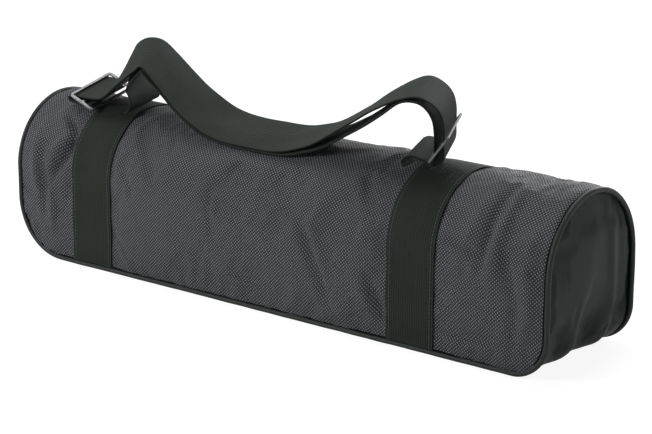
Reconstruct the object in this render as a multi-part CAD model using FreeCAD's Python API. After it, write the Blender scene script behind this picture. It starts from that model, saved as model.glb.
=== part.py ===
"""Padded carry case for a small telescope: arched wrap panel, base-and-ends panel, zipped back lid,
webbing bands and a doubled carry strap with two metal adjusters.

Frame: +X along the case, -Y the front, +Z up. Origin at the middle of the base, on the ground.
Millimetres.
"""
import FreeCAD
import Part
import math
import os
from FreeCAD import Vector

# ---- overall form -------------------------------------------------------------------------
CASE_LENGTH = 611.0          # over the end panels
CASE_WIDTH = 130.0           # over the front and back of the wrap panel
CASE_HEIGHT = 150.0          # base to crown of the arch
CORNER_R_LEFT = 52.0         # soft turn from base to left end
CORNER_R_RIGHT = 34.0        # soft turn from base to right end

# ---- layers of the wall -------------------------------------------------------------------
SKIN_T = 1.2                 # coated woven fabric
FOAM_T = 8.0                 # closed-cell foam
LINING_T = 0.8               # lining fabric
PIPING_R = 2.4               # corded edge piping
PIPING_SINK = 0.6            # how far the piping beds into the seam

# ---- zipped lid in the back ---------------------------------------------------------------
LID_HALF = 268.0             # half length of the opening in the wrap panel
LID_BOTTOM = 16.0            # lower edge of the opening
LID_CORNER_R = 24.0          # rounded lower corners of the opening
HINGE_ANGLE = 62.0           # hinge line on the arch, measured up from the horizontal
LID_GAP = 0.4                # running gap beside the hinge line
ZIP_TAPE_W = 3.2             # visible width of each tape
ZIP_COIL_W = 1.4             # width of each half of the coil
ZIP_COIL_T = 2.2             # thickness of the coil
ZIP_TAPE_T = 0.8             # thickness of the tape
ZIP_MESH_GAP = 0.4           # gap between the two halves of the coil

# ---- zip sliders and pulls ----------------------------------------------------------------
SLIDER_LENGTH = 11.0
SLIDER_PLATE_T = 1.2
SLIDER_HALF_W = 5.0
SLIDER_CLEAR = 0.4           # slider plates to coil
SLIDER_SPACING = 13.0        # between the two sliders when they meet
BAIL_R = 1.1                 # round bail that the pull hangs on
BAIL_LENGTH = 8.0
BAIL_FOOT = 1.4              # foot at each end of the bail
BAIL_STAND = 2.8             # slider plate to the bail's centre line
PULL_LENGTH = 26.0
PULL_WIDTH = 7.0
PULL_T = 1.6
PULL_STEM = 4.0
PULL_EYE_WALL = 0.9
PULL_PIN_CLEAR = 0.35
STOP_T = 0.8                 # stop staple that stands on the coil
STOP_LENGTH = 3.0
STOP_FROM_HINGE = 6.0

# ---- webbing ------------------------------------------------------------------------------
WEB_WIDTH = 50.0             # bands and strap
BAND_T = 1.6
BAND_LEFT_X = -209.0
BAND_RIGHT_X = 167.0
BAND_FOOT = 2.0 * PIPING_R   # bands start at the bottom piping
STRAP_T = 1.8
STRAP_WIDTH = 48.0
STRAP_STEP = 3.5             # length of each flat stretch of the strap's smooth line

# ---- strap adjusters (three-bar frames) ---------------------------------------------------
ADJ_LONG = 58.0
ADJ_END_BAR = 2.8
ADJ_MID_BAR = 3.0
ADJ_SLOT = 11.0
ADJ_SIDE = 3.4
ADJ_T = 2.0
ADJ_CORNER_R = 4.0

LEFT_ADJ_CENTRE = Vector(-243.5, -13.0, 158.4)
LEFT_ADJ_TILT = 25.0         # rise of the short side, towards the left end
LEFT_LEAN = 13.0             # back edge of the strap above its front edge
LEFT_YAW = 0.0
RIGHT_ADJ_CENTRE = Vector(164.5, -14.0, 175.0)
RIGHT_ADJ_TILT = 50.0        # rise of the short side, towards the right end
RIGHT_LEAN = 11.0
RIGHT_YAW = 23.0

HALF_L = CASE_LENGTH / 2
HALF_W = CASE_WIDTH / 2
ARCH_Z = CASE_HEIGHT - HALF_W            # centre line of the arch
LAYER_1 = SKIN_T
LAYER_2 = SKIN_T + FOAM_T
LAYER_3 = SKIN_T + FOAM_T + LINING_T
FAR = 4 * CASE_WIDTH

os.makedirs("parts", exist_ok=True)


def save(shape, node):
    shape.exportStep("parts/" + node + ".step")
    print(node, len(shape.Solids), round(shape.Volume / 1000, 2), "cm3", shape.isValid())


def box(x0, x1, y0, y1, z0, z1):
    return Part.makeBox(x1 - x0, y1 - y0, z1 - z0, Vector(x0, y0, z0))


# ---- the two prisms whose overlap is the case ----------------------------------------------
def arch(inset):
    """Arched cross-section, open-ended along X and running down past the base."""
    half = HALF_W - inset
    foot = -CASE_HEIGHT
    length = CASE_LENGTH + 100
    left_foot = Vector(-length / 2, -half, foot)
    left_spring = Vector(-length / 2, -half, ARCH_Z)
    crown = Vector(-length / 2, 0, ARCH_Z + half)
    right_spring = Vector(-length / 2, half, ARCH_Z)
    right_foot = Vector(-length / 2, half, foot)
    edges = [
        Part.LineSegment(left_foot, left_spring).toShape(),
        Part.Arc(left_spring, crown, right_spring).toShape(),
        Part.LineSegment(right_spring, right_foot).toShape(),
        Part.LineSegment(right_foot, left_foot).toShape(),
    ]
    return Part.Face(Part.Wire(edges)).extrude(Vector(length, 0, 0))


def bottom_arc(centre_x, centre_z, radius, side, y):
    """Quarter arc between base and end; side is -1 for the left end and +1 for the right."""
    diagonal = radius * math.sqrt(0.5)
    base_point = Vector(centre_x, y, centre_z - radius)
    middle = Vector(centre_x + side * diagonal, y, centre_z - diagonal)
    end_point = Vector(centre_x + side * radius, y, centre_z)
    return base_point, middle, end_point


def tray(inset):
    """Side view of the case with its soft lower corners, running up past the arch."""
    left_r = CORNER_R_LEFT - inset
    right_r = CORNER_R_RIGHT - inset
    y = -CASE_WIDTH
    top = 2 * CASE_HEIGHT
    left_base, left_mid, left_end = bottom_arc(-HALF_L + CORNER_R_LEFT, CORNER_R_LEFT, left_r, -1, y)
    right_base, right_mid, right_end = bottom_arc(HALF_L - CORNER_R_RIGHT, CORNER_R_RIGHT, right_r, 1, y)
    top_left = Vector(left_end.x, y, top)
    top_right = Vector(right_end.x, y, top)
    edges = [
        Part.LineSegment(left_base, right_base).toShape(),
        Part.Arc(right_base, right_mid, right_end).toShape(),
        Part.LineSegment(right_end, top_right).toShape(),
        Part.LineSegment(top_right, top_left).toShape(),
        Part.LineSegment(top_left, left_end).toShape(),
        Part.Arc(left_end, left_mid, left_base).toShape(),
    ]
    return Part.Face(Part.Wire(edges)).extrude(Vector(0, 2 * CASE_WIDTH, 0))


def wrap_layer(outer, inner):
    """One layer of the front, top and back wall."""
    return arch(outer).cut(arch(inner)).common(tray(outer))


def tray_layer(outer, inner, wall):
    """One layer of the base and both ends, inside the given depth of wrap wall."""
    return tray(outer).cut(tray(inner)).common(arch(wall))


# ---- lid opening ---------------------------------------------------------------------------
def lid_window(shrink, hinge_gap):
    """Region of the back wall inside the opening's edge, below the hinge line."""
    half = LID_HALF - shrink
    bottom = LID_BOTTOM + shrink
    block = box(-half, half, 0, FAR, bottom, FAR)
    lower_edges = [
        edge for edge in block.Edges
        if all(abs(v.Z - bottom) < 1e-6 for v in edge.Vertexes)
        and abs(edge.Vertexes[0].X - edge.Vertexes[1].X) < 1e-6
    ]
    block = block.makeFillet(LID_CORNER_R - shrink, lower_edges)
    slope = math.radians(HINGE_ANGLE)
    along = Vector(0, math.cos(slope), math.sin(slope))
    away = Vector(0, math.sin(slope), -math.cos(slope))
    start = Vector(-FAR, 0, ARCH_Z) + away * hinge_gap
    points = [
        start - along * FAR,
        start + along * FAR,
        start + along * FAR + away * FAR,
        start - along * FAR + away * FAR,
    ]
    behind = Part.Face(Part.makePolygon(points + [points[0]])).extrude(Vector(2 * FAR, 0, 0))
    return block.common(behind)


ZIP_TOTAL = 2 * ZIP_TAPE_W + 2 * ZIP_COIL_W + ZIP_MESH_GAP
COIL_OUT = -(ZIP_COIL_T - ZIP_TAPE_T) / 2
COIL_IN = ZIP_COIL_T + COIL_OUT
WINDOW = lid_window(0, 0)
ZIP_CENTRE_Z = LID_BOTTOM + ZIP_TOTAL / 2


def zip_band(outer_shrink, inner_shrink, outer, inner, gap):
    """A strip that follows the opening's edge, in the given depth of the wall."""
    strip = lid_window(outer_shrink, gap).cut(lid_window(inner_shrink, -gap - 1))
    return arch(outer).cut(arch(inner)).common(strip)


def beside_piping(layer):
    """The layer with the piping's seat taken out, without the slivers outside the seam."""
    solids = layer.cut(PIPING).Solids
    return max(solids, key=lambda solid: solid.Volume)


def wrap_panel():
    return beside_piping(wrap_layer(0, LAYER_1).cut(WINDOW))


def wrap_foam():
    return beside_piping(wrap_layer(LAYER_1, LAYER_2).cut(WINDOW))


def wrap_lining():
    return wrap_layer(LAYER_2, LAYER_3).cut(WINDOW)


def end_base_panel():
    return beside_piping(tray_layer(0, LAYER_1, LAYER_1))


def end_base_lining():
    return tray_layer(LAYER_2, LAYER_3, LAYER_3)


def tray_foam():
    """Base pad and the two end pads, parted where the corners turn up."""
    whole = tray_layer(LAYER_1, LAYER_2, LAYER_2)
    left_x = -HALF_L + CORNER_R_LEFT
    right_x = HALF_L - CORNER_R_RIGHT
    base = whole.common(box(left_x, right_x, -FAR, FAR, -FAR, FAR))
    left = whole.common(box(-FAR, left_x, -FAR, FAR, -FAR, FAR))
    right = whole.common(box(right_x, FAR, -FAR, FAR, -FAR, FAR))
    return base, left, right


def lid_layer(outer, inner):
    return arch(outer).cut(arch(inner)).common(lid_window(ZIP_TOTAL, LID_GAP))


# ---- piping --------------------------------------------------------------------------------
def piping():
    """Closed cord round the seam between the wrap panel and the base-and-ends panel."""
    proud = PIPING_R - PIPING_SINK
    y = HALF_W - PIPING_R + proud
    x_left = -HALF_L + PIPING_R - proud
    x_right = HALF_L - PIPING_R + proud
    z_base = PIPING_R
    r_left = CORNER_R_LEFT
    r_right = CORNER_R_RIGHT
    arch_r = y

    def lower_run(side):
        start, start_mid, start_end = bottom_arc(x_left + r_left, z_base + r_left, r_left, -1, side * y)
        stop, stop_mid, stop_end = bottom_arc(x_right - r_right, z_base + r_right, r_right, 1, side * y)
        left_top = Vector(x_left, side * y, ARCH_Z)
        right_top = Vector(x_right, side * y, ARCH_Z)
        return [
            Part.LineSegment(left_top, start_end).toShape(),
            Part.Arc(start_end, start_mid, start).toShape(),
            Part.LineSegment(start, stop).toShape(),
            Part.Arc(stop, stop_mid, stop_end).toShape(),
            Part.LineSegment(stop_end, right_top).toShape(),
        ]

    def end_arch(x):
        front = Vector(x, -y, ARCH_Z)
        crown = Vector(x, 0, ARCH_Z + arch_r)
        back = Vector(x, y, ARCH_Z)
        return Part.Arc(front, crown, back).toShape()

    front_run = lower_run(-1)
    back_run = lower_run(1)
    edges = front_run + [end_arch(x_right)] + back_run + [end_arch(x_left)]
    path = Part.Wire(Part.__sortEdges__(edges))
    pieces = []
    for edge in path.Edges:
        tangent = edge.tangentAt(edge.FirstParameter)
        circle = Part.Wire(Part.makeCircle(PIPING_R, edge.valueAt(edge.FirstParameter), tangent))
        pieces.append(Part.Wire([edge]).makePipeShell([circle], True, False))
    joined = pieces[0].multiFuse(pieces[1:])
    return joined.removeSplitter()


# ---- bands ---------------------------------------------------------------------------------
def band_layer(centre_x):
    slab = box(centre_x - WEB_WIDTH / 2, centre_x + WEB_WIDTH / 2, -FAR, FAR, BAND_FOOT, FAR)
    return arch(-BAND_T).cut(arch(0)).common(slab)


def band(centre_x):
    """Band from the front seam over the crown to the hinge line."""
    upper = box(-FAR, FAR, 0, FAR, -FAR, FAR)
    return band_layer(centre_x).cut(lid_window(-FAR / 4, 0).common(upper))


def lid_band(centre_x):
    """Tail of the band on the lid, from the hinge line to just above the zip."""
    return band_layer(centre_x).common(lid_window(ZIP_TOTAL + ZIP_TAPE_W, LID_GAP))


# ---- zip slider, bail and pull -------------------------------------------------------------
def zip_slider(side):
    """C-shaped slider on the lower run; side is -1 for the left slider and +1 for the right."""
    x_mid = side * SLIDER_SPACING / 2
    x0 = x_mid - SLIDER_LENGTH / 2
    x1 = x_mid + SLIDER_LENGTH / 2
    coil_out = HALF_W + (ZIP_COIL_T - ZIP_TAPE_T) / 2
    plate_in = coil_out + SLIDER_CLEAR
    plate_out = plate_in + SLIDER_PLATE_T
    z0 = ZIP_CENTRE_Z - SLIDER_HALF_W
    z1 = ZIP_CENTRE_Z + SLIDER_HALF_W
    plate = box(x0, x1, plate_in, plate_out, z0, z1)
    upright = [e for e in plate.Edges if abs(e.Vertexes[0].Y - e.Vertexes[1].Y) > SLIDER_PLATE_T / 2]
    plate = plate.makeFillet(SLIDER_HALF_W / 2, upright)
    bail_y = plate_out + BAIL_STAND
    low = ZIP_CENTRE_Z - BAIL_LENGTH / 2
    high = ZIP_CENTRE_Z + BAIL_LENGTH / 2
    pin = Part.makeCylinder(BAIL_R, BAIL_LENGTH, Vector(x_mid, bail_y, low), Vector(0, 0, 1))
    foot_in = plate_in + SLIDER_PLATE_T / 2
    lower_foot = box(x_mid - BAIL_R, x_mid + BAIL_R, foot_in, bail_y, low, low + BAIL_FOOT)
    upper_foot = box(x_mid - BAIL_R, x_mid + BAIL_R, foot_in, bail_y, high - BAIL_FOOT, high)
    slider = plate.multiFuse([pin, lower_foot, upper_foot]).removeSplitter()
    return slider, x_mid, bail_y


def zip_pull(side, x_mid, bail_y):
    """Flat pull with a round eye on the bail, lying along the zip away from the meeting point."""
    eye_in = BAIL_R + PULL_PIN_CLEAR
    eye_out = eye_in + PULL_EYE_WALL
    eye_height = BAIL_LENGTH - 2 * BAIL_FOOT - 2 * PULL_PIN_CLEAR
    z0 = ZIP_CENTRE_Z - eye_height / 2
    ring = Part.makeCylinder(eye_out, eye_height, Vector(x_mid, bail_y, z0), Vector(0, 0, 1))
    stem_start = x_mid + side * (eye_in + PULL_EYE_WALL / 2)
    stem_end = x_mid + side * (eye_out + PULL_STEM)
    stem_x = sorted((stem_start, stem_end))
    stem = box(stem_x[0], stem_x[1], bail_y, bail_y + PULL_T, z0, z0 + eye_height)
    tab_x = sorted((stem_end, x_mid + side * (eye_out + PULL_LENGTH)))
    half = PULL_WIDTH / 2
    tab = box(tab_x[0], tab_x[1], bail_y, bail_y + PULL_T, ZIP_CENTRE_Z - half, ZIP_CENTRE_Z + half)
    corners = [e for e in tab.Edges if abs(e.Vertexes[0].Y - e.Vertexes[1].Y) > PULL_T / 2]
    tab = tab.makeFillet(PULL_WIDTH / 3, corners)
    bore = Part.makeCylinder(eye_in, eye_height, Vector(x_mid, bail_y, z0), Vector(0, 0, 1))
    return ring.multiFuse([stem, tab]).cut(bore).removeSplitter()


def zip_stops():
    """Two stop staples that close the chain's ends below the hinge line."""
    slope = math.radians(HINGE_ANGLE)
    away = Vector(0, math.sin(slope), -math.cos(slope))
    slab = Part.makeBox(2 * FAR, FAR, STOP_LENGTH, Vector(-FAR, 0, 0))
    slab.rotate(Vector(0, 0, 0), Vector(1, 0, 0), HINGE_ANGLE)
    slab.translate(Vector(0, 0, ARCH_Z) + away * STOP_FROM_HINGE)
    strip = lid_window(ZIP_TAPE_W, 0).cut(lid_window(ZIP_TAPE_W + ZIP_COIL_W, -1))
    return arch(COIL_OUT - STOP_T).cut(arch(COIL_OUT)).common(strip).common(slab)


# ---- strap adjusters -----------------------------------------------------------------------
def width_vector(lean, yaw):
    lean_r = math.radians(lean)
    yaw_r = math.radians(yaw)
    return Vector(-math.sin(yaw_r) * math.cos(lean_r), math.cos(yaw_r) * math.cos(lean_r), math.sin(lean_r))


def adjuster(centre, tilt, side, lean, yaw):
    """Three-bar frame: long bars along the webbing's width, short sides rising towards the case end."""
    short = 2 * ADJ_END_BAR + ADJ_MID_BAR + 2 * ADJ_SLOT
    frame = box(-ADJ_LONG / 2, ADJ_LONG / 2, -short / 2, short / 2, -ADJ_T / 2, ADJ_T / 2)
    uprights = [e for e in frame.Edges if abs(e.Vertexes[0].Z - e.Vertexes[1].Z) > ADJ_T / 2]
    frame = frame.makeFillet(ADJ_CORNER_R, uprights)
    inner = ADJ_LONG / 2 - ADJ_SIDE
    for sign in (-1, 1):
        near = sign * ADJ_MID_BAR / 2
        far = sign * (ADJ_MID_BAR / 2 + ADJ_SLOT)
        slot = box(-inner, inner, min(near, far), max(near, far), -ADJ_T, ADJ_T)
        frame = frame.cut(slot)
    rim = [e for e in frame.Edges if e.Length > 2 * ADJ_T]
    frame = frame.makeFillet(0.5, rim)
    long_axis = width_vector(lean, yaw)
    rise = math.radians(tilt)
    up = Vector(side * math.cos(rise), 0, math.sin(rise))
    short_axis = up - long_axis * up.dot(long_axis)
    short_axis.normalize()
    normal = long_axis.cross(short_axis)
    place = FreeCAD.Matrix(
        long_axis.x, short_axis.x, normal.x, centre.x,
        long_axis.y, short_axis.y, normal.y, centre.y,
        long_axis.z, short_axis.z, normal.z, centre.z,
        0, 0, 0, 1,
    )
    return frame.transformed(place)


# ---- carry strap ---------------------------------------------------------------------------
def facet(a, b, c):
    return Part.Face(Part.makePolygon([a, b, c, a]))


def strap_sections(route):
    """Corner points of the webbing's section at each station along a smooth line."""
    centres = [Vector(stop[0], stop[1], stop[2]) for stop in route]
    line = Part.BSplineCurve()
    line.interpolate(centres)
    knots = [line.parameter(centre) for centre in centres]
    stations = line.discretize(Number=int(line.length() / STRAP_STEP))
    sections = []
    for point in stations:
        t = line.parameter(point)
        passed = [i for i in range(len(knots) - 1) if knots[i] <= t + 1e-9]
        k = passed[-1]
        part = (t - knots[k]) / (knots[k + 1] - knots[k])
        lean = route[k][3] + part * (route[k + 1][3] - route[k][3])
        yaw = route[k][4] + part * (route[k + 1][4] - route[k][4])
        across = width_vector(lean, yaw)
        face = line.tangent(t)[0].cross(across)
        face.normalize()
        half_w = across * (STRAP_WIDTH / 2)
        half_t = face * (STRAP_T / 2)
        sections.append([
            point - half_w - half_t,
            point + half_w - half_t,
            point + half_w + half_t,
            point - half_w + half_t,
        ])
    return sections


def ribbon(route):
    """Webbing along a route. Each stop is x, y, z, lean and yaw of the webbing's width."""
    sections = strap_sections(route)
    first = sections[0]
    last = sections[-1]
    faces = [facet(first[0], first[2], first[1]), facet(first[0], first[3], first[2])]
    faces += [facet(last[0], last[1], last[2]), facet(last[0], last[2], last[3])]
    for here, there in zip(sections, sections[1:]):
        for i in range(4):
            j = (i + 1) % 4
            faces.append(facet(here[i], here[j], there[j]))
            faces.append(facet(here[i], there[j], there[i]))
    solid = Part.makeSolid(Part.makeShell(faces))
    if solid.Volume < 0:
        solid.reverse()
    return solid


# The straight stretches through the adjusters lie in the middle of their slots.
SLOT_OFFSET = (ADJ_MID_BAR + ADJ_SLOT) / 2
LEFT_RISE = SLOT_OFFSET * math.sin(math.radians(LEFT_ADJ_TILT))
LEFT_UPPER_Z = LEFT_ADJ_CENTRE.z + LEFT_RISE
LEFT_LOWER_Z = LEFT_ADJ_CENTRE.z - LEFT_RISE
RIGHT_REACH = SLOT_OFFSET * math.cos(math.radians(RIGHT_ADJ_TILT))
RIGHT_UPPER_X = RIGHT_ADJ_CENTRE.x + RIGHT_REACH
RIGHT_LOWER_X = RIGHT_ADJ_CENTRE.x - RIGHT_REACH

# Upper run: crease at the left adjuster, left rise, sag on the crown, right loop, tail.
UPPER_ROUTE = [
    (-234, -13, LEFT_LOWER_Z, 13, 0),
    (-243, -13, LEFT_LOWER_Z, 13, 0),
    (-252, -13, LEFT_LOWER_Z, 13, 0),
    (-261, -13, LEFT_LOWER_Z, 13, 0),
    (-265, -13, LEFT_ADJ_CENTRE.z, 13, 0),
    (-261, -13, LEFT_UPPER_Z, 13, 0),
    (-252, -13, LEFT_UPPER_Z, 13, 0),
    (-243, -13, LEFT_UPPER_Z, 13, 0),
    (-233, -13, LEFT_UPPER_Z + 0.3, 13, 0),
    (-224, -13, 164.0, 16, 0),
    (-218, -13, 170.0, 20, 0),
    (-213, -14, 178.0, 26, 0),
    (-202, -14, 191.0, 32, 0),
    (-188, -14, 200.5, 31, 0),
    (-174, -15, 204.0, 22, 0),
    (-160, -16, 197.0, 12, 0),
    (-140, -18, 183.5, 12, 0),
    (-120, -20, 171.0, 17, 0),
    (-100, -22, 161.3, 20, 0),
    (-78, -23, 153.4, 20, 0),
    (-50, -23, 150.0, 20, 1),
    (-20, -23, 149.6, 20, 2),
    (5, -23, 150.8, 19, 3),
    (26, -22, 156.0, 16, 5),
    (45, -20, 165.0, 12, 8),
    (75, -17, 184.0, 9, 12),
    (103, -16, 201.0, 9, 16),
    (125, -15, 212.0, 10, 19),
    (141, -14, 216.0, 11, 22),
    (155, -14, 213.0, 11, 23),
    (165, -14, 205.5, 11, 23),
    (RIGHT_UPPER_X, -14, 194.0, 11, 23),
    (RIGHT_UPPER_X, -14, 181.0, 11, 23),
    (RIGHT_UPPER_X, -14, 168.0, 11, 23),
    (165, -14, 160.5, 11, 23),
    (156, -14, 156.3, 11, 23),
]

# Lower run: left anchor fold, under the upper run, right anchor fold.
LOWER_ROUTE = [
    (-182.0, -14, 152.0, 10, 0),
    (-176, -14, 156.0, 12, 0),
    (-175, -14, 165.0, 14, 0),
    (-181, -14, 174.0, 18, 0),
    (-192, -14, 179.0, 24, 0),
    (-190, -14, 186.5, 30, 0),
    (-182, -14, 194.5, 27, 0),
    (-172, -15, 198.0, 20, 0),
    (-160, -16, 192.2, 12, 0),
    (-140, -18, 180.0, 12, 0),
    (-120, -20, 167.8, 17, 0),
    (-100, -22, 158.4, 20, 0),
    (-78, -23, 150.7, 20, 0),
    (-50, -23, 147.5, 20, 1),
    (-20, -23, 147.2, 20, 2),
    (5, -23, 148.3, 19, 3),
    (27, -22, 152.9, 16, 5),
    (47, -20, 162.0, 12, 8),
    (77, -17, 181.0, 9, 12),
    (105, -16, 197.6, 9, 16),
    (125, -15, 207.6, 10, 19),
    (139, -14, 211.0, 11, 22),
    (150, -14, 207.5, 11, 23),
    (157.5, -14, 199.0, 11, 23),
    (RIGHT_LOWER_X, -14, 187.0, 11, 23),
    (RIGHT_LOWER_X, -14, 175.0, 11, 23),
    (RIGHT_LOWER_X, -14, 164.0, 11, 23),
    (156.5, -14, 160.5, 11, 23),
    (149, -14, 162.5, 10, 22),
    (140, -15, 164.0, 8, 20),
    (133, -16, 161.0, 6, 18),
    (131.5, -16, 155.5, 4, 14),
    (137.5, -16, 152.0, 2, 8),
]
PIPING = piping()
save(wrap_panel(), "wrap_panel")
save(end_base_panel(), "end_base_panel")
save(wrap_foam(), "wrap_foam")
base_pad, left_pad, right_pad = tray_foam()
save(base_pad, "base_foam")
save(left_pad, "end_foam_left")
save(right_pad, "end_foam_right")
save(wrap_lining(), "wrap_lining")
save(end_base_lining(), "end_base_lining")
save(PIPING, "piping")
save(lid_layer(0, LAYER_1), "lid_panel")
save(lid_layer(LAYER_1, LAYER_2), "lid_foam")
save(lid_layer(LAYER_2, LAYER_3), "lid_lining")
COIL_START = ZIP_TAPE_W
COIL_MEET = ZIP_TAPE_W + ZIP_COIL_W
LID_COIL_START = COIL_MEET + ZIP_MESH_GAP
LID_TAPE_START = LID_COIL_START + ZIP_COIL_W
save(zip_band(0, COIL_START, 0, ZIP_TAPE_T, 0), "zip_tape_body")
save(zip_band(COIL_START, COIL_MEET, COIL_OUT, COIL_IN, 0), "zip_coil_body")
save(zip_band(LID_COIL_START, LID_TAPE_START, COIL_OUT, COIL_IN, LID_GAP), "zip_coil_lid")
save(zip_band(LID_TAPE_START, ZIP_TOTAL, 0, ZIP_TAPE_T, LID_GAP), "zip_tape_lid")
save(zip_stops(), "zip_stops")
for name, centre_x in (("left", BAND_LEFT_X), ("right", BAND_RIGHT_X)):
    save(band(centre_x), "band_" + name)
    save(lid_band(centre_x), "lid_band_" + name)
for name, side in (("left", -1), ("right", 1)):
    slider, slider_x, slider_y = zip_slider(side)
    save(slider, "zip_slider_" + name)
    save(zip_pull(side, slider_x, slider_y), "zip_pull_" + name)
save(adjuster(LEFT_ADJ_CENTRE, LEFT_ADJ_TILT, -1, LEFT_LEAN, LEFT_YAW), "adjuster_left")
save(adjuster(RIGHT_ADJ_CENTRE, RIGHT_ADJ_TILT, 1, RIGHT_LEAN, RIGHT_YAW), "adjuster_right")
save(ribbon(UPPER_ROUTE), "strap_upper")
save(ribbon(LOWER_ROUTE), "strap_lower")
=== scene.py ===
import math
from functools import partial

import bmesh
import bpy
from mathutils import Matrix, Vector, noise


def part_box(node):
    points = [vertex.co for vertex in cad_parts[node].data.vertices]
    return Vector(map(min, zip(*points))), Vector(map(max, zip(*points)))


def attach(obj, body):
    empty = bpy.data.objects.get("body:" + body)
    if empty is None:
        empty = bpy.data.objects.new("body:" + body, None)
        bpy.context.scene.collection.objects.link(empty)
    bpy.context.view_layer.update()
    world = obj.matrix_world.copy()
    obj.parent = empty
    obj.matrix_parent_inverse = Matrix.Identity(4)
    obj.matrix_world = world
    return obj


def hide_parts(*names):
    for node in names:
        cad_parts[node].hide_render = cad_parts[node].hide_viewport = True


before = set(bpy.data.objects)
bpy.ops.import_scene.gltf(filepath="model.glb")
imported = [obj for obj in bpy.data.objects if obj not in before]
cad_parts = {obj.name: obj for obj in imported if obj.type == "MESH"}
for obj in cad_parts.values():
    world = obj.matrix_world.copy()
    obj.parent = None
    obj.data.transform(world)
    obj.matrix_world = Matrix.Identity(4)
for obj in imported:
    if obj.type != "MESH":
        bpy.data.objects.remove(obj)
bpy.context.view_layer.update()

# ------------------------------
# Wrap panel: one cut of coarse ballistic nylon that makes the front, the crown and the
# back of the case. It is sewn into the piping all round, pulled in by the two bands, and
# creased where the foam under it has been bent.
half_l, half_w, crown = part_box("wrap_panel")[1]
arch_z = crown - half_w
foot_z = 0.0018
straight = arch_z - foot_z
arch_length = math.pi * half_w
wrap_girth = 2 * straight + arch_length
corner_left, corner_right = 0.052, 0.034
cloth_t = 0.0011
band_half = 0.025
band_mid = {}
for side in ("left", "right"):
    band_low, band_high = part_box("band_" + side)
    band_mid[side] = (band_low.x + band_high.x) / 2

# The zip's opening in the back, and the line on the arch where the lid bends.
tape_low, tape_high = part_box("zip_tape_body")
open_half, open_bottom = tape_high.x, tape_low.z
open_corner = 0.024
hinge_angle = math.radians(62)
hinge_girth = straight + half_w * (math.pi - hinge_angle)

# Each crease runs from one point on the cloth to another: x, girth, x, girth, half width, depth.
wrap_creases = [
    (0.05, 0.088, 0.066, 0.054, 0.006, -0.003), (0.066, 0.054, 0.082, 0.022, 0.0055, -0.0026),
    (0.06, 0.092, 0.08, 0.05, 0.006, 0.0018), (0.121, 0.058, 0.14, 0.018, 0.005, -0.0024),
    (0.112, 0.05, 0.128, 0.016, 0.006, 0.0014), (0.205, 0.1, 0.238, 0.096, 0.0045, -0.0018),
    (0.246, 0.16, 0.24, 0.084, 0.005, -0.003), (0.256, 0.156, 0.251, 0.07, 0.0065, 0.0022),
    (0.232, 0.15, 0.222, 0.1, 0.006, 0.0014), (0.262, 0.105, 0.276, 0.06, 0.0055, -0.0024),
    (0.276, 0.06, 0.272, 0.022, 0.006, -0.0022), (0.285, 0.12, 0.289, 0.04, 0.006, 0.0018),
    (0.205, 0.06, 0.235, 0.04, 0.008, 0.0012), (0.215, 0.022, 0.262, 0.026, 0.005, -0.0012),
    (-0.26, 0.141, -0.239, 0.124, 0.0038, -0.0044), (-0.239, 0.127, -0.243, 0.104, 0.004, -0.004),
    (-0.242, 0.107, -0.261, 0.076, 0.0045, -0.0038), (-0.25, 0.122, -0.264, 0.092, 0.0055, 0.0026),
    (-0.273, 0.108, -0.269, 0.046, 0.0048, -0.003), (-0.262, 0.07, -0.259, 0.028, 0.0055, 0.0016),
    (-0.236, 0.092, -0.241, 0.05, 0.005, -0.0016), (-0.282, 0.13, -0.281, 0.07, 0.0055, 0.0018),
    (-0.16, 0.14, -0.13, 0.105, 0.007, -0.0012), (-0.06, 0.082, -0.052, 0.06, 0.005, -0.0012),
    (-0.11, 0.055, -0.06, 0.036, 0.007, -0.0009), (0.01, 0.12, 0.04, 0.1, 0.008, -0.0011),
    (0.1, 0.145, 0.125, 0.11, 0.007, -0.0012), (-0.03, 0.03, 0.01, 0.02, 0.006, -0.001),
    (-0.15, 0.25, -0.11, 0.3, 0.008, -0.0016), (0.05, 0.26, 0.085, 0.32, 0.008, -0.002),
    (-0.02, 0.3, 0.005, 0.34, 0.007, -0.0014), (0.225, 0.25, 0.24, 0.31, 0.006, -0.002),
    (-0.25, 0.24, -0.262, 0.3, 0.0055, -0.0022), (0.275, 0.24, 0.284, 0.3, 0.005, -0.0018),
]


def section(girth):
    """Point and outward direction on the arched section, in the YZ plane."""
    if girth < straight:
        return Vector((0, -half_w, foot_z + girth)), Vector((0, -1, 0))
    if girth < straight + arch_length:
        turn = (girth - straight) / half_w
        out = Vector((0, -math.cos(turn), math.sin(turn)))
        return Vector((0, 0, arch_z)) + out * half_w, out
    return Vector((0, half_w, arch_z - (girth - straight - arch_length))), Vector((0, 1, 0))


def corner_cut(radius, height):
    """How far a rounded lower corner stands in from the end at this height."""
    if height >= radius:
        return 0.0
    return radius - math.sqrt(max(0.0, radius ** 2 - (radius - height) ** 2))


def ends_at(height):
    """Where the wrap's two end seams stand at this height."""
    return -half_l + corner_cut(corner_left, height), half_l - corner_cut(corner_right, height)


def fold(x, girth, crease):
    """Depth of one crease at a point of the cloth; it fades towards both of its tips."""
    x0, g0, x1, g1, width, depth = crease
    run = Vector((x1 - x0, g1 - g0))
    off = Vector((x - x0, girth - g0))
    part = max(0.0, min(1.0, off.dot(run) / run.length_squared))
    away = (off - run * part).length / width
    if away > 2.6:
        return 0.0
    return 1.6 * depth * math.exp(-away * away) * math.sin(math.pi * (0.12 + 0.76 * part))


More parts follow.
